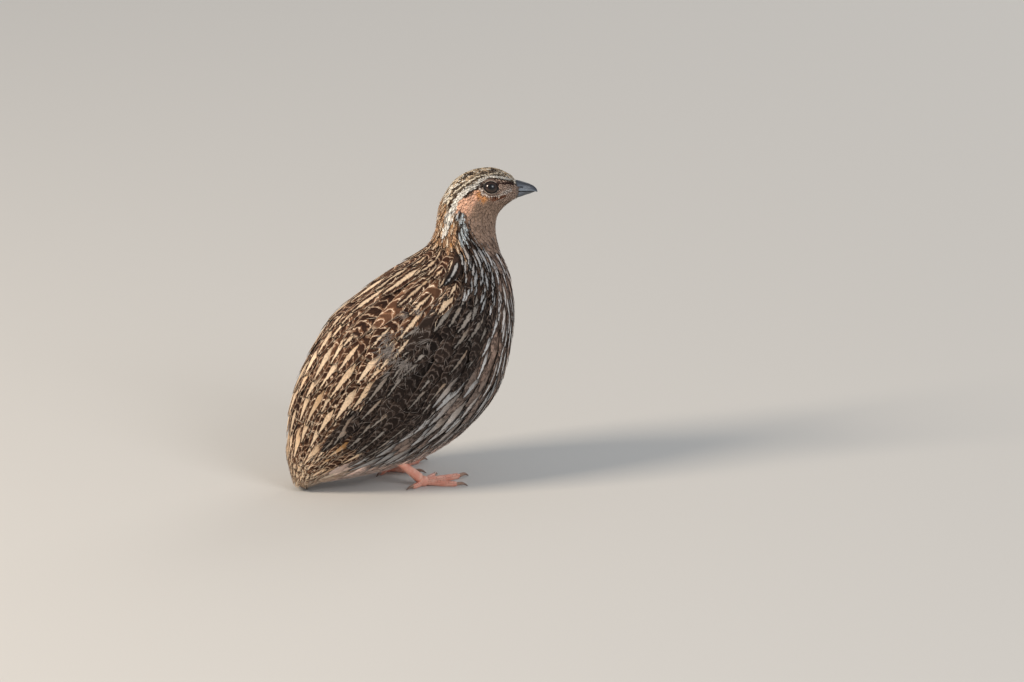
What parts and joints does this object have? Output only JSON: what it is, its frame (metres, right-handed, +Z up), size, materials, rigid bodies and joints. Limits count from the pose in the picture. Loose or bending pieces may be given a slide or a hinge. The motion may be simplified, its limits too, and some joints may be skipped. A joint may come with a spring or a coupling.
{
  "type": "quail",
  "caption": "Life-size coturnix quail standing alert on both feet, body steep, short tail on the floor, neck up and head turned a little to its right.",
  "frame": {"origin": "on the floor, under the middle of the bird's outline", "axes": "+Z up, +X the way the bird's body faces, +Y its left side"},
  "size_m": [0.1172, 0.065, 0.1418],
  "materials": {
    "body_plumage": "soft feathers, buff brown with pale streaks",
    "head_plumage": "short feathers, streaked brown and cream",
    "wing_plumage": "firm feathers, dark brown barred with buff",
    "horn": "satin blue-grey horn",
    "eye": "wet gloss",
    "bare_skin": "scaled pink skin"
  },
  "bodies": {
    "root": {"torso": "body_plumage", "neck": "head_plumage", "head": "head_plumage", "eye_left": "eye", "eye_right": "eye", "upper_bill": "horn", "lower_bill": "horn", "wing_left": "wing_plumage", "wing_right": "wing_plumage", "tail": "wing_plumage", "leg_right": "bare_skin", "leg_left": "bare_skin"}
  },
  "joints": []
}
